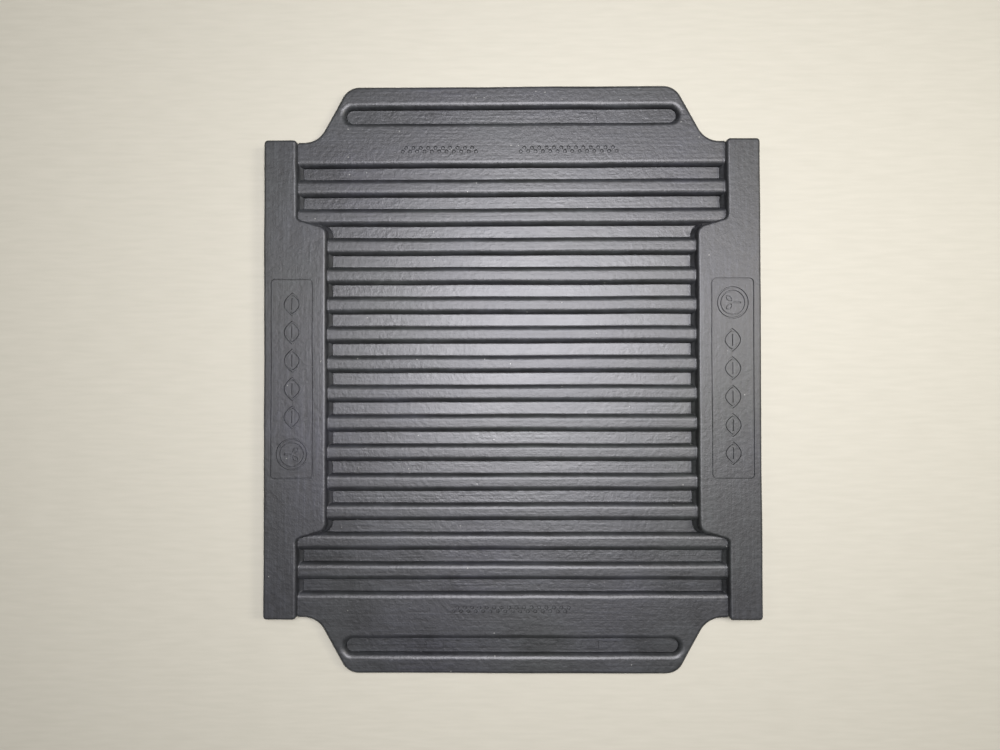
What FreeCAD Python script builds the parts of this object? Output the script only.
import FreeCAD, Part
import math
import os
import re
import Sketcher

# Seedling heat mat: a moulded rubber mat with raised side rails, a ribbed field and two end tabs.
# The frame: +X across the mat, +Y along it, +Z up, origin under the middle of the mat on its underside.

BANDS = 15  # sunk bands across the field, with a rib between each two
RUNS = BANDS - 1  # runs of the heating wire, one under each rib
END_RIBS = 3  # rib profiles at each end of the field that reach as wide as the two wide bands
MIDDLE_RIBS = BANDS + 1 - 2 * END_RIBS
LEFT_TURNS = RUNS // 2 - 1
RIGHT_TURNS = LEFT_TURNS - 1
LEAVES = 5  # leaf marks on each rail

# ---------------------------------------------------------------------------------------------
# Dimensions in millimetres
# ---------------------------------------------------------------------------------------------
DRIVING = [
    # the whole mat
    ("mat_width", 254.0, "over both side rails"),
    ("mat_length", 302.8, "over both end tabs"),
    ("mat_thickness", 9.5, "underside to rail tops"),
    ("panel_height", 6.5, "underside to rib tops and tab panels"),
    ("floor_height", 3.5, "underside to the sunk floors"),
    ("fit_gap", 0.1, "sideways clearance of every inlaid piece"),
    # side rails
    ("rail_end_width", 16.95, "rail width beside the wide bands"),
    ("rail_middle_width", 32.2, "rail width beside the narrow bands"),
    ("rail_wall", 3.0, "rail wall outside the cover's edge"),
    ("rail_skin", 1.2, "rail top over the inlet"),
    ("rail_rounding", 1.5, "radius of the rail's upper edges"),
    ("rail_corner", 2.0, "upright corners at the rail's ends"),
    ("step_inset", 1.8, "rail step's start, below the centre of the second rib"),
    ("step_drop", 4.5, "slant of the rail step along the mat"),
    ("step_inner_radius", 2.6, "hollow corner of the rail step"),
    ("step_outer_radius", 5.0, "round corner of the rail step"),
    # ribs and bands
    ("field_margin", 8.5, "rail end to the centre line beyond the last band"),
    ("rib_crown_width", 3.04, "flat top of a rib"),
    ("end_flank", 1.7, "rounded end of a band"),
    # end tabs
    ("tab_length", 28.6, "rail end to the tab's outer edge"),
    ("neck_inset", 9.85, "tab's neck, inwards of the rail, before its corners are rounded"),
    ("tab_taper", 15.6, "narrowing of the tab on each side"),
    ("tab_corner_radius", 10.0, "round corner of the tab"),
    ("neck_radius", 12.0, "hollow corner where the tab meets the mat"),
    ("tab_rounding", 1.8, "radius of the tab's upper edge"),
    ("recess_inset", 13.4, "tab's outer edge to the recess centre line"),
    ("recess_width", 6.2, "flat floor of the tab recess"),
    ("recess_end_inset", 6.1, "tab's slanted side to the end of the recess floor"),
    ("rim_rounding", 2.8, "radius of the recess rim"),
    # laminate
    ("skirt", 2.0, "rubber edge around the base sheet"),
    ("base_thickness", 1.0, "bottom sheet"),
    ("foam_thickness", 1.0, "closed-cell insulation"),
    ("foil_thickness", 0.1, "reflector"),
    ("carrier_thickness", 0.2, "glass-fibre net under the wire"),
    ("pack_side_margin", 3.9, "cover edge to the laminate, at the rails"),
    ("pack_end_margin", 6.8, "rail end to the laminate"),
    ("pack_radius", 6.0, "laminate corners"),
    # heating wire and leads
    ("wire_diameter", 2.4, "silicone sheath of the heating wire"),
    ("core_diameter", 0.8, "resistance strand"),
    ("groove_clearance", 0.2, "round the wire in its moulded groove"),
    ("turn_leg", 2.0, "overlap of a turn's groove with the straight grooves"),
    ("channel_wall", 1.25, "band wall foot to the wiring channel"),
    ("channel_end", 3.0, "channel length beyond the outer wires"),
    ("lane_inset", 4.35, "outer side of the wiring channel to the leads"),
    ("lead_diameter", 2.2, "cold lead jacket"),
    ("conductor_diameter", 1.2, "cold lead strand"),
    ("splice_inset", 19.0, "outermost wire run to each splice"),
    ("crimp_length", 10.0, "crimp barrel"),
    ("sleeve_length", 16.0, "shrink sleeve over the crimp"),
    ("sleeve_wall", 0.25, "shrink sleeve"),
    # thermal cutout
    ("cutout_length", 16.0, "cutout case"),
    ("cutout_width", 7.0, "cutout case"),
    ("cutout_height", 2.9, "cutout case with its lid"),
    ("cutout_wall", 0.6, "cutout case"),
    ("bimetal_thickness", 0.2, "snap strip"),
    ("bimetal_width", 3.6, "snap strip"),
    ("terminal_width", 2.4, "cutout terminal blades"),
    ("terminal_thickness", 0.5, "cutout terminal blades"),
    ("terminal_reach", 3.2, "cutout terminal inside the case"),
    # low-voltage inlet
    ("inlet_inset", 30.0, "near splice to the inlet"),
    ("inlet_block_width", 10.0, "inlet housing along the rail"),
    ("inlet_block_depth", 10.2, "inlet housing behind the rail wall"),
    ("nose_margin", 0.2, "housing shoulder above the nose"),
    ("nose_recess", 0.4, "inlet mouth behind the rail's face"),
    ("nose_root", 1.0, "nose length buried in the housing"),
    ("inlet_bore_radius", 1.8, "inlet mouth"),
    ("inlet_bore_depth", 9.0, "inlet mouth"),
    ("pin_radius", 0.65, "inlet centre pin"),
    ("pin_recess", 2.0, "inlet mouth to the pin's tip"),
    ("contact_wall", 0.25, "inlet sleeve contact"),
    ("contact_length", 5.0, "inlet sleeve contact"),
    ("contact_strap", 0.5, "strap from the sleeve contact to its post"),
    ("post_radius", 0.6, "inlet solder posts"),
    ("gasket_thickness", 0.8, "flat gasket behind the rail wall"),
    # moulded marks on the rails
    ("mark_depth", 0.3, "sunk lines on the rail tops"),
    ("mark_line", 0.6, "width of a sunk line"),
    ("frame_inset", 3.9, "rail's outer edge to the line frame"),
    ("frame_width", 22.0, "line frame on the rail, across"),
    ("frame_length", 102.0, "line frame on the rail, along"),
    ("frame_radius", 2.3, "line frame corners"),
    ("badge_radius", 8.2, "round mark at the frame's end"),
    ("badge_place", 38.4, "middle of the rail to the round mark"),
    ("leaf_length", 12.0, "leaf-shaped marks in a row"),
    ("leaf_width", 8.6, "leaf-shaped marks in a row"),
    ("leaf_pitch", 14.4, "leaf-shaped marks in a row"),
    ("leaf_start", 19.5, "middle of the rail to the first leaf mark"),
]

DERIVED = [
    # rails and cover
    ("rail_outer", "mat_width / 2"),
    ("tab_edge", "mat_length / 2"),
    ("rail_end", "tab_edge - tab_length"),
    ("rail_inner_end", "rail_outer - rail_end_width"),
    ("rail_inner_middle", "rail_outer - rail_middle_width"),
    ("rail_hollow_side", "rail_outer - rail_wall"),
    ("rail_hollow_end", "rail_end - rail_wall"),
    ("hollow_start", "rail_inner_middle - rail_wall"),
    ("cover_side", "rail_hollow_side - fit_gap"),
    ("cover_notch", "rail_hollow_end - fit_gap"),
    ("tab_base", "rail_inner_end - neck_inset"),
    ("tab_top", "tab_base - tab_taper"),
    ("tab_slope", "tab_taper / tab_length"),
    # ribs and bands share the field
    ("field_end", "rail_end - field_margin"),
    ("band_pitch", f"2 * field_end / {BANDS}"),
    ("outer_rib", "field_end - band_pitch"),
    ("second_rib", "outer_rib - band_pitch"),
    ("rib_rise", "panel_height - floor_height"),
    ("rib_crown", "rib_crown_width / 2"),
    ("rib_foot", "rib_crown + rib_rise"),
    ("step_far", "second_rib - step_inset"),
    ("step_near", "step_far - step_drop"),
    ("floor_end_wide", "rail_inner_end - end_flank"),
    ("floor_end_narrow", "rail_inner_middle - end_flank"),
    # tab recesses
    ("recess_line", "tab_edge - recess_inset"),
    ("recess_half", "recess_width / 2"),
    ("recess_far", "recess_line + recess_half"),
    ("recess_near", "recess_line - recess_half"),
    ("recess_turn", "tab_top + tab_slope * recess_inset - recess_end_inset - recess_half"),
    # laminate
    ("foam_floor", "base_thickness"),
    ("foil_floor", "foam_floor + foam_thickness"),
    ("carrier_floor", "foil_floor + foil_thickness"),
    ("pack_top", "carrier_floor + carrier_thickness"),
    ("pack_side", "cover_side - pack_side_margin"),
    ("pack_end", "rail_end - pack_end_margin"),
    ("pack_room_side", "pack_side + fit_gap"),
    ("pack_room_end", "pack_end + fit_gap"),
    # wire grooves
    ("wire_radius", "wire_diameter / 2"),
    ("sleeve_radius", "wire_radius + fit_gap / 2 + sleeve_wall"),
    ("lane_room", "max(sleeve_radius; cutout_height / 2)"),
    ("wire_height", "pack_top + lane_room"),
    ("groove_half", "wire_radius + groove_clearance"),
    ("groove_height", "wire_height + groove_half - pack_top"),
    ("turn_radius", "band_pitch / 2"),
    ("turn_outer", "turn_radius + groove_half"),
    ("turn_inner", "turn_radius - groove_half"),
    ("turn_leg_middle", "rail_inner_middle - turn_leg"),
    ("turn_leg_end", "rail_inner_end - turn_leg"),
    ("groove_outer_far", "outer_rib + groove_half"),
    ("groove_outer_near", "outer_rib - groove_half"),
    ("groove_second_far", "second_rib + groove_half"),
    ("groove_second_near", "second_rib - groove_half"),
    # wiring channel
    ("channel_height", "2 * lane_room + fit_gap"),
    ("channel_far", "pack_side"),
    ("channel_near", "rail_inner_end + channel_wall"),
    ("channel_reach", "outer_rib + channel_end"),
    ("lane", "channel_far - lane_inset"),
    ("tail_radius", "lane - channel_near - fit_gap"),
    ("splice_place", "outer_rib - splice_inset"),
    ("cutout_floor", "wire_height - cutout_height / 2"),
    ("terminal_floor", "wire_height - terminal_thickness / 2"),
    # inlet
    ("inlet_place", "splice_place - inlet_inset"),
    ("inlet_floor", "pack_top + fit_gap"),
    ("inlet_block_height", "mat_thickness - rail_skin - fit_gap - inlet_floor"),
    ("inlet_height", "inlet_floor + inlet_block_height / 2"),
    ("inlet_roof_rise", "mat_thickness - rail_skin - panel_height"),
    ("nose_radius", "inlet_block_height / 2 - nose_margin"),
    ("port_radius", "nose_radius + fit_gap"),
    ("inlet_face", "rail_hollow_side - gasket_thickness"),
    ("inlet_back", "inlet_face - inlet_block_depth"),
    ("inlet_mouth_place", "rail_outer - nose_recess"),
    ("inlet_near", "inlet_place - inlet_block_width / 2"),
    ("inlet_far", "inlet_place + inlet_block_width / 2"),
    ("inlet_room_near", "inlet_near - fit_gap"),
    ("inlet_room_far", "inlet_far + fit_gap"),
    ("inlet_room_back", "inlet_back - fit_gap"),
    # marks
    ("frame_line", "rail_outer - frame_inset - frame_width / 2"),
    ("frame_near", "frame_line - frame_width / 2"),
    ("frame_far", "frame_line + frame_width / 2"),
    ("frame_end", "frame_length / 2"),
    ("frame_near_inside", "frame_near + mark_line"),
    ("frame_far_inside", "frame_far - mark_line"),
    ("frame_end_inside", "frame_end - mark_line"),
    ("frame_radius_inside", "frame_radius - mark_line"),
    ("badge_radius_inside", "badge_radius - mark_line"),
    ("leaf_radius", "(leaf_length ^ 2 + leaf_width ^ 2) / (4 * leaf_width)"),
    ("leaf_shift", "leaf_radius - leaf_width / 2"),
    ("leaf_inside", "sqrt((leaf_radius - mark_line) ^ 2 - leaf_shift ^ 2)"),
    ("leaf_centre_far", "frame_line + leaf_shift"),
    ("leaf_centre_near", "frame_line - leaf_shift"),
    ("leaf_tip_far", "leaf_start + leaf_length / 2"),
    ("leaf_tip_near", "leaf_start - leaf_length / 2"),
    ("leaf_inside_far", "leaf_start + leaf_inside"),
    ("leaf_inside_near", "leaf_start - leaf_inside"),
]

RIB_ROWS = {"upper": "field_end", "middle": "second_rib - band_pitch", "lower": "-second_rib"}
for row_name, line in RIB_ROWS.items():
    DERIVED += [
        (row_name + "_foot_far", f"{line} + rib_foot"),
        (row_name + "_crown_far", f"{line} + rib_crown"),
        (row_name + "_crown_near", f"{line} - rib_crown"),
        (row_name + "_foot_near", f"{line} - rib_foot"),
    ]

TURN_ROWS = {"left_turn": "second_rib - turn_radius", "right_turn": "second_rib - 3 * turn_radius",
             "wide_turn": "second_rib + turn_radius"}
for row_name, line in TURN_ROWS.items():
    DERIVED += [
        (row_name + "_outer_far", f"{line} + turn_outer"),
        (row_name + "_inner_far", f"{line} + turn_inner"),
        (row_name + "_inner_near", f"{line} - turn_inner"),
        (row_name + "_outer_near", f"{line} - turn_outer"),
    ]

for row_name, inset in (("rebate", "skirt"), ("base", "(skirt + fit_gap)")):
    DERIVED += [
        (row_name + "_side", f"cover_side - {inset}"),
        (row_name + "_notch", f"cover_notch - {inset}"),
        (row_name + "_shoulder", f"rail_inner_end - {inset}"),
        (row_name + "_neck", f"rail_end - {inset}"),
        (row_name + "_edge", f"tab_edge - {inset}"),
        (row_name + "_neck_side", f"tab_base - {inset} * (sqrt(1 + tab_slope ^ 2) - tab_slope)"),
        (row_name + "_edge_side", f"tab_top - {inset} * (sqrt(1 + tab_slope ^ 2) + tab_slope)"),
        (row_name + "_corner", f"tab_corner_radius - {inset}"),
        (row_name + "_hollow", f"neck_radius + {inset}"),
    ]

doc = FreeCAD.newDocument("SeedlingHeatMat")
sheet = doc.addObject("Spreadsheet::Sheet", "Dims")
for row, (name, number, meaning) in enumerate(DRIVING, start=1):
    sheet.set(f"A{row}", name)
    sheet.set(f"B{row}", str(number))
    sheet.set(f"C{row}", meaning)
    sheet.setAlias(f"B{row}", name)
for row, (name, formula) in enumerate(DERIVED, start=len(DRIVING) + 1):
    sheet.set(f"A{row}", name)
    sheet.set(f"B{row}", "=" + formula)
    sheet.setAlias(f"B{row}", name)
doc.recompute()

NODES = []


def size(name):
    """The sheet's value for a cell name, which may carry a minus sign."""
    if name == "0":
        return 0.0
    if name.startswith("-"):
        return -float(sheet.get(name[1:]))
    return float(sheet.get(name))


def bind(thing, prop, formula):
    """Tie a property to the sheet: every word in the formula is a cell name."""
    thing.setExpression(prop, re.sub(r"[a-z][a-z_]+", r"Dims.\g<0>", formula))


# ---------------------------------------------------------------------------------------------
# Sketch and body helpers
# ---------------------------------------------------------------------------------------------
def new_body(label):
    body = doc.addObject("PartDesign::Body", label)
    body.Label = label
    NODES.append(body)
    return body


def origin_feature(body, role):
    return next(f for f in body.Origin.OriginFeatures if f.Role == role)


def new_sketch(body, name, plane="XY_Plane", height="0"):
    """A sketch on one of the body's own origin planes, raised to a named height."""
    sketch = body.newObject("Sketcher::SketchObject", name)
    sketch.AttachmentSupport = [(origin_feature(body, plane), "")]
    sketch.MapMode = "FlatFace"
    if height != "0":
        bind(sketch, "AttachmentOffset.Base.z", height)
    return sketch


def place(sketch, geometry, vertex, spot):
    """Hold a sketch point at named coordinates."""
    for kind, name in zip(("DistanceX", "DistanceY"), spot):
        if name == "0":
            axis = -2 if kind == "DistanceX" else -1
            sketch.addConstraint(Sketcher.Constraint("PointOnObject", geometry, vertex, axis))
            continue
        number = sketch.addConstraint(Sketcher.Constraint(kind, -1, 1, geometry, vertex, size(name)))
        bind(sketch, f"Constraints[{number}]", name)


def outline(sketch, corners, arcs=None):
    """A closed outline through named corners. arcs gives, for the edge that starts at a corner's number,
    (the axis and the name that place the arc's centre, +1 for an anticlockwise arc or -1)."""
    arcs = arcs or {}
    spots = [FreeCAD.Vector(size(x), size(y), 0) for x, y in corners]
    edges = []
    for number, start in enumerate(spots):
        finish = spots[(number + 1) % len(spots)]
        if number not in arcs:
            edges.append(sketch.addGeometry(Part.LineSegment(start, finish)))
            continue
        axis, name, turn = arcs[number]
        middle = (start + finish) * 0.5
        along = finish - start
        across = FreeCAD.Vector(-along.y, along.x, 0)
        shift = (size(name) - middle[axis]) / across[axis]
        centre = middle + across * shift
        first, last = (start, finish) if turn > 0 else (finish, start)
        circle = Part.Circle(centre, FreeCAD.Vector(0, 0, 1), (start - centre).Length)
        arc = Part.ArcOfCircle(circle, math.atan2(first.y - centre.y, first.x - centre.x),
                               math.atan2(last.y - centre.y, last.x - centre.x))
        edges.append(sketch.addGeometry(arc))
        kind = "DistanceX" if axis == 0 else "DistanceY"
        held = sketch.addConstraint(Sketcher.Constraint(kind, -1, 1, edges[-1], 3, size(name)))
        bind(sketch, f"Constraints[{held}]", name)
    for number, edge in enumerate(edges):
        backwards = number in arcs and arcs[number][2] < 0
        after = (number + 1) % len(edges)
        after_backwards = after in arcs and arcs[after][2] < 0
        sketch.addConstraint(Sketcher.Constraint("Coincident", edge, 1 if backwards else 2,
                                                 edges[after], 2 if after_backwards else 1))
        place(sketch, edge, 2 if backwards else 1, corners[number])


def feature(body, kind, name, sketch, formula, midplane=False, reverse=False):
    """A pad or pocket of a sketch; its length is a formula in cell names."""
    made = body.newObject("PartDesign::" + kind, name)
    made.Profile = sketch
    made.Reversed = reverse
    made.Midplane = midplane
    bind(made, "Length", formula)
    before = body.Shape.Volume if kind == "Pocket" else 0.0
    doc.recompute()
    if kind == "Pocket" and body.Shape.Volume >= before:
        raise ValueError(f"{name} cuts nothing")
    return made


def repeat(body, name, original, axis, pitch, count, reverse=True):
    """Repeat a feature along one of the body's axes."""
    pattern = body.newObject("PartDesign::LinearPattern", name)
    pattern.Originals = [original]
    pattern.Direction = (origin_feature(body, axis), [""])
    pattern.Mode = "Spacing"
    pattern.Reversed = reverse
    bind(pattern, "Offset", pitch)
    pattern.Occurrences = count
    body.Tip = pattern
    doc.recompute()
    return pattern


def edges_where(body, test):
    """Names of the body's edges that pass a test of the edge."""
    return [f"Edge{n}" for n, edge in enumerate(body.Shape.Edges, start=1) if test(edge)]


def upright_at(spots):
    """A test for vertical edges that stand on any of the given places."""
    def test(edge):
        ends = [v.Point for v in edge.Vertexes]
        if len(ends) != 2 or abs(ends[0].x - ends[1].x) > 1e-6 or abs(ends[0].y - ends[1].y) > 1e-6:
            return False
        return any(math.hypot(ends[0].x - x, ends[0].y - y) < 0.01 for x, y in spots)
    return test


def level_at(height, inside=lambda point: True):
    """A test for edges that lie at one height, whose middle passes a second test."""
    def test(edge):
        box = edge.BoundBox
        middle = edge.valueAt((edge.FirstParameter + edge.LastParameter) / 2)
        return abs(box.ZMin - height) < 1e-4 and abs(box.ZMax - height) < 1e-4 and inside(middle)
    return test


def fillet(body, name, test, radius):
    """Round the edges that pass a test."""
    made = body.newObject("PartDesign::Fillet", name)
    names = edges_where(body, test)
    if not names:
        raise ValueError(f"{name} found no edges")
    made.Base = (body.Tip if body.Tip is not made else made.BaseFeature, names)
    bind(made, "Radius", radius)
    doc.recompute()
    return made


def four_ways(x, y):
    return [(sx * x, sy * y) for sx in (1, -1) for sy in (1, -1)]


# ---------------------------------------------------------------------------------------------
# Top cover: the moulded upper with its field of bands and ribs, two tabs and the wire grooves
# ---------------------------------------------------------------------------------------------
def signed(name, sign):
    """A cell name, negated for the left or near side of the mat."""
    if sign > 0 or name == "0":
        return name
    return name[1:] if name.startswith("-") else "-" + name


def tabbed_outline(side, notch, shoulder, neck, neck_side, edge_side, edge):
    """The mat without its rails: two tapering tabs on a wide middle."""
    quarter = [(side, notch), (shoulder, notch), (shoulder, neck), (neck_side, neck), (edge_side, edge)]
    corners = []
    for x_sign, y_sign in ((1, 1), (-1, 1), (-1, -1), (1, -1)):
        spots = [(signed(x, x_sign), signed(y, y_sign)) for x, y in quarter]
        corners += spots if x_sign == y_sign else spots[::-1]
    return corners


def inset_outline(row_name):
    parts = ("side", "notch", "shoulder", "neck", "neck_side", "edge_side", "edge")
    return tabbed_outline(*(f"{row_name}_{part}" for part in parts))


def rectangle(left, right, near, far):
    return [(left, near), (right, near), (right, far), (left, far)]


def round_tabs(body, row_name):
    """Round the upright corners of both tabs of an inset outline."""
    corners = four_ways(size(row_name + "_edge_side"), size(row_name + "_edge"))
    necks = four_ways(size(row_name + "_neck_side"), size(row_name + "_neck"))
    fillet(body, row_name + "_corners", upright_at(corners), row_name + "_corner")
    fillet(body, row_name + "_necks", upright_at(necks), row_name + "_hollow")


def add_ribs(body, name, row_name, count, reach):
    """A row of round-edged ribs: one sketched profile, padded both ways and repeated along the mat."""
    sketch = new_sketch(body, name + "_profile", "YZ_Plane")
    foot_far, crown_far, crown_near, foot_near = (
        row_name + part for part in ("_foot_far", "_crown_far", "_crown_near", "_foot_near"))
    corners = [(foot_far, "floor_height"), (crown_far, "panel_height"),
               (crown_near, "panel_height"), (foot_near, "floor_height")]
    outline(sketch, corners, {0: (0, crown_far, 1), 2: (0, crown_near, 1)})
    rib = feature(body, "Pad", name, sketch, reach, midplane=True)
    repeat(body, name + "_row", rib, "Y_Axis", "band_pitch", count)


def cut_up(body, name, corners, height, formula, arcs=None):
    """Cut upwards into the body from a level, with a sketched outline."""
    sketch = new_sketch(body, name + "_plan", height=height)
    outline(sketch, corners, arcs)
    return feature(body, "Pocket", name, sketch, formula, reverse=True)


def cut_turns(body, name, side, turn_x, leg_x, row_name, spacing, count):
    """Half-round wire grooves that join neighbouring straight grooves, repeated along the mat."""
    outer_far, inner_far, inner_near, outer_near = (
        row_name + part for part in ("_outer_far", "_inner_far", "_inner_near", "_outer_near"))
    centre, leg = signed(turn_x, side), signed(leg_x, side)
    corners = [(centre, outer_near), (centre, outer_far), (leg, outer_far), (leg, inner_far),
               (centre, inner_far), (centre, inner_near), (leg, inner_near), (leg, outer_near)]
    arcs = {0: (0, centre, side), 4: (0, centre, -side)}
    turn = cut_up(body, name, corners, "pack_top", "groove_height", arcs)
    repeat(body, name + "_row", turn, "Y_Axis", spacing, count)


cover = new_body("top_cover")
plan = new_sketch(cover, "cover_plan")
outline(plan, tabbed_outline("cover_side", "cover_notch", "rail_inner_end", "rail_end", "tab_base",
                             "tab_top", "tab_edge"))
feature(cover, "Pad", "cover_slab", plan, "panel_height")
fillet(cover, "tab_corners", upright_at(four_ways(size("tab_top"), size("tab_edge"))), "tab_corner_radius")
fillet(cover, "tab_necks", upright_at(four_ways(size("tab_base"), size("rail_end"))), "neck_radius")


def on_tab_rim(point):
    return abs(point.y) > size("rail_end") - 1e-3


def on_field_end(point):
    return min(abs(abs(point.x) - size(end)) for end in ("floor_end_wide", "floor_end_narrow")) < 1e-3


def on_recess_rim(point):
    return abs(abs(point.y) - size("recess_line")) < size("recess_half") + 1e-3


fillet(cover, "tab_edge_rounding", level_at(size("panel_height"), on_tab_rim), "tab_rounding")

field = new_sketch(cover, "field_plan", height="panel_height")
field_corners = []
for x_sign, y_sign in ((1, 1), (-1, 1), (-1, -1), (1, -1)):
    spots = [("floor_end_narrow", "second_rib"), ("floor_end_wide", "second_rib"),
             ("floor_end_wide", "field_end")]
    spots = [(signed(x, x_sign), signed(y, y_sign)) for x, y in spots]
    field_corners += spots if x_sign == y_sign else spots[::-1]
outline(field, field_corners)
feature(cover, "Pocket", "field", field, "rib_rise")
fillet(cover, "band_end_rounding", level_at(size("panel_height"), on_field_end), "end_flank")
add_ribs(cover, "upper_ribs", "upper", END_RIBS, "2 * rail_inner_end")
add_ribs(cover, "middle_ribs", "middle", MIDDLE_RIBS, "2 * rail_inner_middle")
add_ribs(cover, "lower_ribs", "lower", END_RIBS, "2 * rail_inner_end")

for side, name in ((1, "far_recess"), (-1, "near_recess")):
    recess = new_sketch(cover, name + "_plan", height="panel_height")
    left, right = signed("recess_turn", -1), "recess_turn"
    outer, inner = signed("recess_far", side), signed("recess_near", side)
    outline(recess, [(left, inner), (right, inner), (right, outer), (left, outer)],
            {1: (0, right, side), 3: (0, left, side)})
    feature(cover, "Pocket", name, recess, "rib_rise")
fillet(cover, "recess_rims", level_at(size("panel_height"), on_recess_rim), "rim_rounding")

cut_up(cover, "base_rebate", inset_outline("rebate"), "0", "base_thickness")
round_tabs(cover, "rebate")
pack_room = rectangle("-pack_room_side", "pack_room_side", "-pack_room_end", "pack_room_end")
cut_up(cover, "pack_room", pack_room, "0", "pack_top")
corner = four_ways(size("pack_room_side"), size("pack_room_end"))
fillet(cover, "pack_room_corners", upright_at(corner), "pack_radius")



def cut_runs(name, left, right, rib, spacing, count):
    """Straight wire grooves between two named ends, under a rib and its neighbours."""
    corners = rectangle(left, right, f"groove_{rib}_near", f"groove_{rib}_far")
    run = cut_up(cover, name, corners, "pack_top", "groove_height")
    repeat(cover, name + "_row", run, "Y_Axis", spacing, count)


cut_runs("straight_groove", "-rail_inner_middle", "rail_inner_middle", "outer", "band_pitch", RUNS)
cut_runs("outer_groove", "-lane", "rail_inner_end", "outer", "2 * outer_rib", 2)
cut_runs("second_groove", "0", "rail_inner_end", "second", "2 * second_rib", 2)
cut_turns(cover, "wide_turn", 1, "rail_inner_end", "turn_leg_end", "wide_turn",
          "2 * second_rib + 2 * turn_radius", 2)
cut_turns(cover, "right_turn", 1, "rail_inner_middle", "turn_leg_middle", "right_turn", "2 * band_pitch",
          RIGHT_TURNS)
cut_turns(cover, "left_turn", -1, "rail_inner_middle", "turn_leg_middle", "left_turn", "2 * band_pitch",
          LEFT_TURNS)
channel = rectangle("-channel_far", "-channel_near", "-channel_reach", "channel_reach")
cut_up(cover, "wiring_channel", channel, "pack_top", "channel_height")
inlet_room = rectangle("-rail_outer", "-inlet_room_back", "-inlet_room_far", "-inlet_room_near")
cut_up(cover, "inlet_room", inlet_room, "pack_top", "panel_height - pack_top")


# ---------------------------------------------------------------------------------------------
# Side rails: caps over the wiring margins, stepped inwards beside the narrow bands
# ---------------------------------------------------------------------------------------------
def add_marks(body, side):
    """Sunk line marks on a rail's top: a line frame, a round badge and a row of leaves."""
    def turned(spots):
        return [(signed(x, side), signed(y, side)) for x, y in spots]

    def mark(name):
        return new_sketch(body, name, height="mat_thickness")

    frame = mark("frame_plan")
    outline(frame, turned(rectangle("frame_near", "frame_far", "-frame_end", "frame_end")))
    outline(frame, turned(rectangle("frame_near_inside", "frame_far_inside", "-frame_end_inside",
                                    "frame_end_inside")))
    feature(body, "Pocket", "line_frame", frame, "mark_depth")
    outer = [(side * size(x), y) for x in ("frame_near", "frame_far")
             for y in (size("frame_end"), -size("frame_end"))]
    inner = [(side * size(x), y) for x in ("frame_near_inside", "frame_far_inside")
             for y in (size("frame_end_inside"), -size("frame_end_inside"))]
    fillet(body, "line_frame_outside", upright_at(outer), "frame_radius")
    fillet(body, "line_frame_inside", upright_at(inner), "frame_radius_inside")

    badge = mark("badge_plan")
    centre = (signed("frame_line", side), signed("badge_place", side))
    for radius in ("badge_radius", "badge_radius_inside"):
        circle = Part.Circle(FreeCAD.Vector(size(centre[0]), size(centre[1]), 0),
                             FreeCAD.Vector(0, 0, 1), size(radius))
        ring = badge.addGeometry(circle)
        place(badge, ring, 3, centre)
        held = badge.addConstraint(Sketcher.Constraint("Radius", ring, size(radius)))
        bind(badge, f"Constraints[{held}]", radius)
    feature(body, "Pocket", "badge", badge, "mark_depth")

    leaf = mark("leaf_plan")
    for far, near in (("leaf_tip_far", "leaf_tip_near"), ("leaf_inside_far", "leaf_inside_near")):
        arcs = {0: (0, signed("leaf_centre_near", side), -1), 1: (0, signed("leaf_centre_far", side), -1)}
        outline(leaf, turned([("frame_line", far), ("frame_line", near)]), arcs)
    leaves = feature(body, "Pocket", "leaf", leaf, "mark_depth")
    repeat(body, "leaf_row", leaves, "Y_Axis", "leaf_pitch", LEAVES, reverse=side > 0)


def add_rail(label, side):
    """One side rail; the other is the same piece turned half a turn."""
    body = new_body(label)
    half = [("rail_outer", "rail_end"), ("rail_inner_end", "rail_end"),
            ("rail_inner_end", "step_far"), ("rail_inner_middle", "step_near")]
    half += [(x, signed(y, -1)) for x, y in half[::-1]]
    plan = new_sketch(body, "rail_plan")
    outline(plan, [(signed(x, side), y) for x, y in half])
    feature(body, "Pad", "rail_block", plan, "mat_thickness")
    hollow = rectangle("hollow_start", "rail_hollow_side", "-rail_hollow_end", "rail_hollow_end")
    cut_up(body, "rail_hollow", [(signed(x, side), y) for x, y in hollow], "0", "panel_height")

    def corners(x, y):
        return [(side * size(x), y_sign * size(y)) for y_sign in (1, -1)]

    fillet(body, "step_hollows", upright_at(corners("rail_inner_end", "step_far")), "step_inner_radius")
    fillet(body, "step_rounds", upright_at(corners("rail_inner_middle", "step_near")), "step_outer_radius")
    ends = corners("rail_outer", "rail_end") + corners("rail_inner_end", "rail_end")
    fillet(body, "end_corners", upright_at(ends), "rail_corner")
    fillet(body, "top_rounding", level_at(size("mat_thickness")), "rail_rounding")
    add_marks(body, side)
    return body


add_rail("rail_right", 1)
left_rail = add_rail("rail_left", -1)
cut_up(left_rail, "inlet_roof", rectangle("-rail_hollow_side", "-inlet_room_back", "-inlet_room_far",
                                          "-inlet_room_near"),
       "panel_height", "inlet_roof_rise")
port = new_sketch(left_rail, "inlet_port_plan", "YZ_Plane", "-rail_outer")
port_circle = port.addGeometry(Part.Circle(FreeCAD.Vector(-size("inlet_place"), size("inlet_height"), 0),
                                           FreeCAD.Vector(0, 0, 1), size("port_radius")))
place(port, port_circle, 3, ("-inlet_place", "inlet_height"))
port_held = port.addConstraint(Sketcher.Constraint("Radius", port_circle, size("port_radius")))
bind(port, f"Constraints[{port_held}]", "port_radius")
feature(left_rail, "Pocket", "inlet_port", port, "rail_wall", reverse=True)


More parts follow.
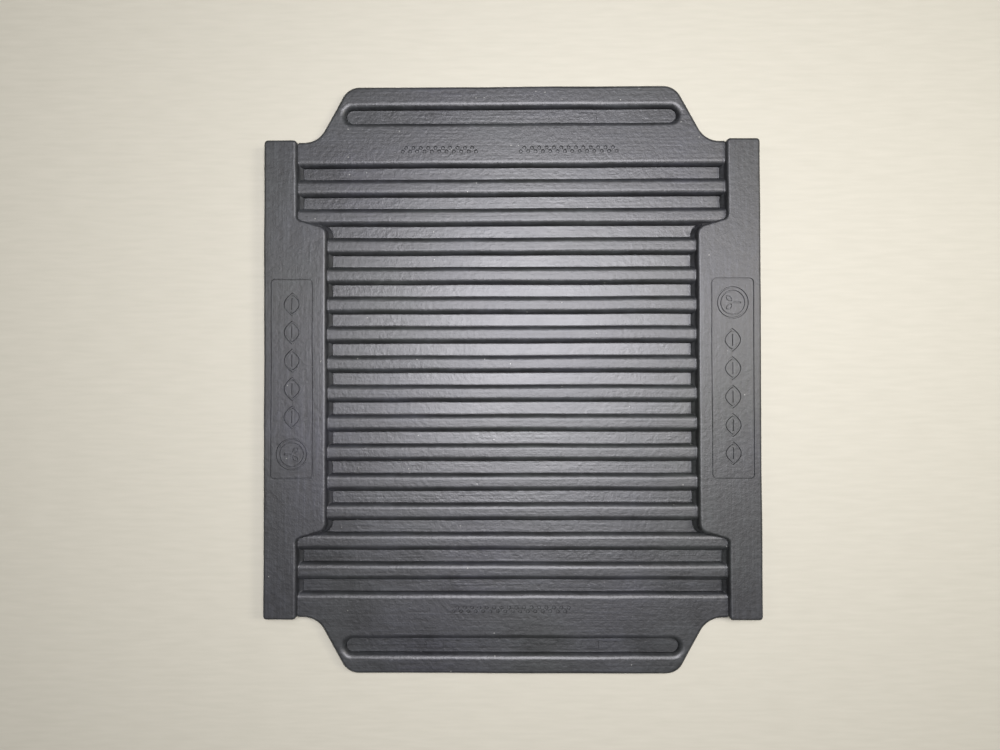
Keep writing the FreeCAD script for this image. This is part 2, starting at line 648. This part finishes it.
# ---------------------------------------------------------------------------------------------
# Laminate below the wire: bottom sheet, insulation, reflector and the wire's carrier
# ---------------------------------------------------------------------------------------------
base = new_body("base_sheet")
base_plan = new_sketch(base, "base_plan")
outline(base_plan, inset_outline("base"))
feature(base, "Pad", "base_slab", base_plan, "base_thickness")
round_tabs(base, "base")

for label, floor in (("insulation_foam", "foam"), ("reflector_foil", "foil"), ("wire_carrier", "carrier")):
    layer = new_body(label)
    layer_plan = new_sketch(layer, floor + "_plan", height=floor + "_floor")
    outline(layer_plan, rectangle("-pack_side", "pack_side", "-pack_end", "pack_end"))
    feature(layer, "Pad", floor + "_layer", layer_plan, floor + "_thickness")
    layer_corners = four_ways(size("pack_side"), size("pack_end"))
    fillet(layer, floor + "_corners", upright_at(layer_corners), "pack_radius")


# ---------------------------------------------------------------------------------------------
# Heating wire: one run under each rib, half-round turns under the rails, both ends in the channel
# ---------------------------------------------------------------------------------------------
def rounded_path(spots, radii, height):
    """Straight runs joined by tangent arcs through the corners; a radius belongs to each inner corner."""
    points = [FreeCAD.Vector(x, y, height) for x, y in spots]
    edges = []
    start = points[0]
    for before, corner, after, radius in zip(points, points[1:], points[2:], radii):
        back = (before - corner).normalize()
        ahead = (after - corner).normalize()
        half = back.getAngle(ahead) / 2
        reach = radius / math.tan(half)
        first, last = corner + back * reach, corner + ahead * reach
        middle = (back + ahead).normalize()
        centre = corner + middle * (radius / math.sin(half))
        if (first - start).Length > 1e-6:
            edges.append(Part.LineSegment(start, first).toShape())
        edges.append(Part.Arc(first, centre - middle * radius, last).toShape())
        start = last
    edges.append(Part.LineSegment(start, points[-1]).toShape())
    return Part.Wire(edges)


def wire_route(end_x, end_y):
    """The corners of the heating wire and their radii, from the far splice to the near one."""
    pitch = size("band_pitch")
    turn = size("turn_radius")
    runs = [size("outer_rib") - number * pitch for number in range(RUNS)]
    spots = [(end_x, end_y)]
    radii = []
    for number, y in enumerate(runs):
        wide = number in (0, RUNS - 2)
        right = size("rail_inner_end" if wide else "rail_inner_middle") + turn
        left = -size("rail_inner_middle") - turn
        leaving_right = number % 2 == 0
        if number == 0:
            spots.append((end_x, y))
            radii.append(size("tail_radius"))
        if number < RUNS - 1:
            side = right if leaving_right else left
            spots += [(side, y), (side, y - pitch)]
            radii += [turn, turn]
    spots += [(end_x, runs[-1]), (end_x, -end_y)]
    radii.append(size("tail_radius"))
    return rounded_path(spots, radii, size("wire_height"))


def plain_feature(label, shape):
    made = doc.addObject("Part::Feature", label)
    made.Shape = shape
    made.Label = label
    made.Placement = FreeCAD.Placement()
    NODES.append(made)
    return made


def along_wire(path, radius):
    """A round solid that follows the path."""
    start, ahead = path.OrderedVertexes[0].Point, FreeCAD.Vector(0, 1, 0)
    ring = Part.Wire(Part.Circle(start, ahead, radius).toShape())
    return path.makePipeShell([ring], True, True)


sheath_end = size("splice_place") + size("crimp_length") / 2
sheath_path = wire_route(-size("lane"), sheath_end)
core_path = wire_route(-size("lane"), size("splice_place"))
core_radius = size("core_diameter") / 2
bore = along_wire(sheath_path, core_radius)
plain_feature("heating_sheath", along_wire(sheath_path, size("wire_radius")).cut(bore))
plain_feature("heating_core", along_wire(core_path, core_radius))


# ---------------------------------------------------------------------------------------------
# Round and boxed pieces from Part primitives
# ---------------------------------------------------------------------------------------------
ALONG = {"x": FreeCAD.Rotation(FreeCAD.Vector(0, 1, 0), 90),
         "y": FreeCAD.Rotation(FreeCAD.Vector(1, 0, 0), -90)}


def rod(name, axis, radius, length, x, y, z):
    """A cylinder along X or Y; its sizes and its start are formulas in cell names."""
    made = doc.addObject("Part::Cylinder", name)
    made.Placement = FreeCAD.Placement(FreeCAD.Vector(), ALONG[axis])
    bind(made, "Radius", radius)
    bind(made, "Height", length)
    for part, formula in zip("xyz", (x, y, z)):
        bind(made, "Placement.Base." + part, formula)
    return made


def block(name, length, width, height, x, y, z):
    """A box; its sizes and its lowest corner are formulas in cell names."""
    made = doc.addObject("Part::Box", name)
    for prop, formula in zip(("Length", "Width", "Height"), (length, width, height)):
        bind(made, prop, formula)
    for part, formula in zip("xyz", (x, y, z)):
        bind(made, "Placement.Base." + part, formula)
    return made


def fused(name, *parts):
    made = doc.addObject("Part::MultiFuse", name)
    made.Shapes = list(parts)
    return made


def less(name, whole, *tools):
    """The first piece with the others cut out of it."""
    made = doc.addObject("Part::Cut", name)
    made.Base = whole
    made.Tool = tools[0] if len(tools) == 1 else fused(name + "_tools", *tools)
    return made


def grouped(name, *parts):
    made = doc.addObject("Part::Compound", name)
    made.Links = list(parts)
    return made


def node(made):
    made.Label = made.Name
    NODES.append(made)
    return made


# Cold leads: each a jacket with its strand, in line along the wiring channel
LEADS = {
    # name: start and end of the jacket, then how far the strand runs past each end
    "return": ("crimp_length / 2 - splice_place", "-inlet_far", "crimp_length / 2", "0"),
    "supply": ("-inlet_near", "-cutout_length / 2", "0", "0"),
    "link": ("cutout_length / 2", "splice_place - crimp_length / 2", "0", "crimp_length / 2"),
}
for name, (start, finish, before, after) in LEADS.items():
    reach = f"({finish}) - ({start})"
    strand = rod(name + "_conductor", "y", "conductor_diameter / 2", f"{reach} + {before} + {after}",
                 "-lane", f"{start} - {before}", "wire_height")
    jacket = rod(name + "_jacket_rod", "y", "lead_diameter / 2", reach, "-lane", start, "wire_height")
    bore = rod(name + "_jacket_bore", "y", "conductor_diameter / 2", reach, "-lane", start, "wire_height")
    node(strand)
    node(less(name + "_jacket", jacket, bore))

# Splices: a crimp barrel over both strands and a shrink sleeve over the crimp
crimps = []
sleeves = []
for name, middle, lead_start in (("far", "splice_place", "splice_place - crimp_length / 2"),
                                 ("near", "-splice_place", "-splice_place")):
    core_start = middle if name == "far" else f"{middle} - crimp_length / 2"
    barrel = rod(name + "_barrel", "y", "wire_radius", "crimp_length", "-lane",
                 f"{middle} - crimp_length / 2", "wire_height")
    lead_bore = rod(name + "_lead_bore", "y", "conductor_diameter / 2", "crimp_length / 2", "-lane",
                    lead_start, "wire_height")
    core_bore = rod(name + "_core_bore", "y", "core_diameter / 2", "crimp_length / 2", "-lane", core_start,
                    "wire_height")
    crimps.append(less(name + "_crimp", barrel, lead_bore, core_bore))
    skin = rod(name + "_skin", "y", "wire_radius + fit_gap / 2 + sleeve_wall", "sleeve_length", "-lane",
               f"{middle} - sleeve_length / 2", "wire_height")
    skin_bore = rod(name + "_skin_bore", "y", "wire_radius + fit_gap / 2", "sleeve_length", "-lane",
                    f"{middle} - sleeve_length / 2", "wire_height")
    sleeves.append(less(name + "_sleeve", skin, skin_bore))
node(grouped("splice_crimps", *crimps))
node(grouped("splice_sleeves", *sleeves))

# Thermal cutout: a tub with a lid, two terminal blades and a snap strip between them
node(less("cutout_case",
          block("cutout_tub", "cutout_width", "cutout_length", "cutout_height - cutout_wall",
                "-lane - cutout_width / 2", "-cutout_length / 2", "cutout_floor + cutout_wall"),
          block("cutout_room", "cutout_width - 2 * cutout_wall", "cutout_length - 2 * cutout_wall",
                "cutout_height - 2 * cutout_wall", "-lane - cutout_width / 2 + cutout_wall",
                "cutout_wall - cutout_length / 2", "cutout_floor + cutout_wall"),
          block("cutout_slots", "terminal_width", "cutout_length", "terminal_thickness",
                "-lane - terminal_width / 2", "-cutout_length / 2", "terminal_floor")))
node(block("cutout_lid", "cutout_width", "cutout_length", "cutout_wall", "-lane - cutout_width / 2",
           "-cutout_length / 2", "cutout_floor"))
blades = []
for name, start in (("near", "-cutout_length / 2"), ("far", "cutout_length / 2 - terminal_reach")):
    blades.append(block(name + "_blade", "terminal_width", "terminal_reach", "terminal_thickness",
                        "-lane - terminal_width / 2", start, "terminal_floor"))
node(grouped("cutout_terminals", *blades))
node(block("cutout_bimetal", "bimetal_width", "cutout_length - 2 * cutout_wall - 2 * fit_gap",
           "bimetal_thickness", "-lane - bimetal_width / 2", "cutout_wall + fit_gap - cutout_length / 2",
           "terminal_floor - bimetal_thickness"))

# Inlet: a housing with its nose in the rail wall, a sleeve contact, a centre pin and a flat gasket
pin = fused("inlet_pin",
            rod("pin_shaft", "x", "pin_radius", "inlet_mouth_place - pin_recess - lane + post_radius",
                "pin_recess - inlet_mouth_place", "-inlet_place", "inlet_height"),
            block("pin_foot", "2 * post_radius", "2 * post_radius", "inlet_height - wire_height",
                  "-lane - post_radius", "-inlet_place - post_radius", "wire_height"),
            rod("pin_post", "y", "post_radius", "inlet_block_width / 2", "-lane", "-inlet_place",
                "wire_height"))
contact_start = "inlet_bore_depth - inlet_mouth_place - contact_length"
strap_side = "-inlet_place - inlet_bore_radius - contact_wall / 2 - contact_strap"
mouth = rod("inlet_mouth", "x", "inlet_bore_radius", "inlet_bore_depth", "-inlet_mouth_place",
            "-inlet_place", "inlet_height")
contact = fused("inlet_contact",
                less("contact_sleeve",
                     rod("contact_outside", "x", "inlet_bore_radius + contact_wall", "contact_length",
                         contact_start, "-inlet_place", "inlet_height"),
                     rod("contact_inside", "x", "inlet_bore_radius", "contact_length", contact_start,
                         "-inlet_place", "inlet_height")),
                block("contact_arm", "inlet_mouth_place - inlet_bore_depth - lane + 3 * post_radius",
                      "contact_strap", "inlet_height - wire_height + post_radius",
                      "inlet_bore_depth - inlet_mouth_place - 2 * post_radius", strap_side,
                      "wire_height - post_radius"),
                rod("contact_post", "y", "post_radius",
                    "inlet_block_width / 2 - inlet_bore_radius - contact_wall", "-lane", "-inlet_far",
                    "wire_height"))
nose = rod("inlet_nose", "x", "nose_radius", "rail_wall + gasket_thickness - nose_recess + nose_root",
           "-inlet_mouth_place", "-inlet_place", "inlet_height")
housing_block = block("inlet_block", "inlet_block_depth", "inlet_block_width", "inlet_block_height",
                      "-inlet_face", "-inlet_far", "inlet_floor")
node(pin)
node(contact)
node(less("inlet_housing", fused("inlet_body", housing_block, nose), mouth, pin, contact))
gasket_sheet = block("gasket_sheet", "gasket_thickness", "inlet_block_width", "inlet_block_height",
                     "-rail_hollow_side", "-inlet_far", "inlet_floor")
gasket_hole = rod("gasket_hole", "x", "nose_radius + fit_gap / 2", "gasket_thickness", "-rail_hollow_side",
                  "-inlet_place", "inlet_height")
node(less("inlet_gasket", gasket_sheet, gasket_hole))


# ---------------------------------------------------------------------------------------------
# Check every object of the document, then write one STEP file for each piece
# ---------------------------------------------------------------------------------------------
doc.recompute()
for thing in doc.Objects:
    if {"Invalid", "Error"} & set(thing.State):
        raise ValueError(f"{thing.Name} failed: {thing.State}")
os.makedirs("parts", exist_ok=True)
for piece in NODES:
    if piece.Shape.isNull() or not piece.Shape.isValid() or not piece.Shape.Solids:
        raise ValueError(f"{piece.Label} has no valid solid")
    piece.Shape.exportStep(f"parts/{piece.Label}.step")
    box = piece.Shape.BoundBox
    print(f"{piece.Label:18s} solids {len(piece.Shape.Solids)} volume {piece.Shape.Volume:10.1f} mm3 "
          f"z {box.ZMin:.2f} to {box.ZMax:.2f}")
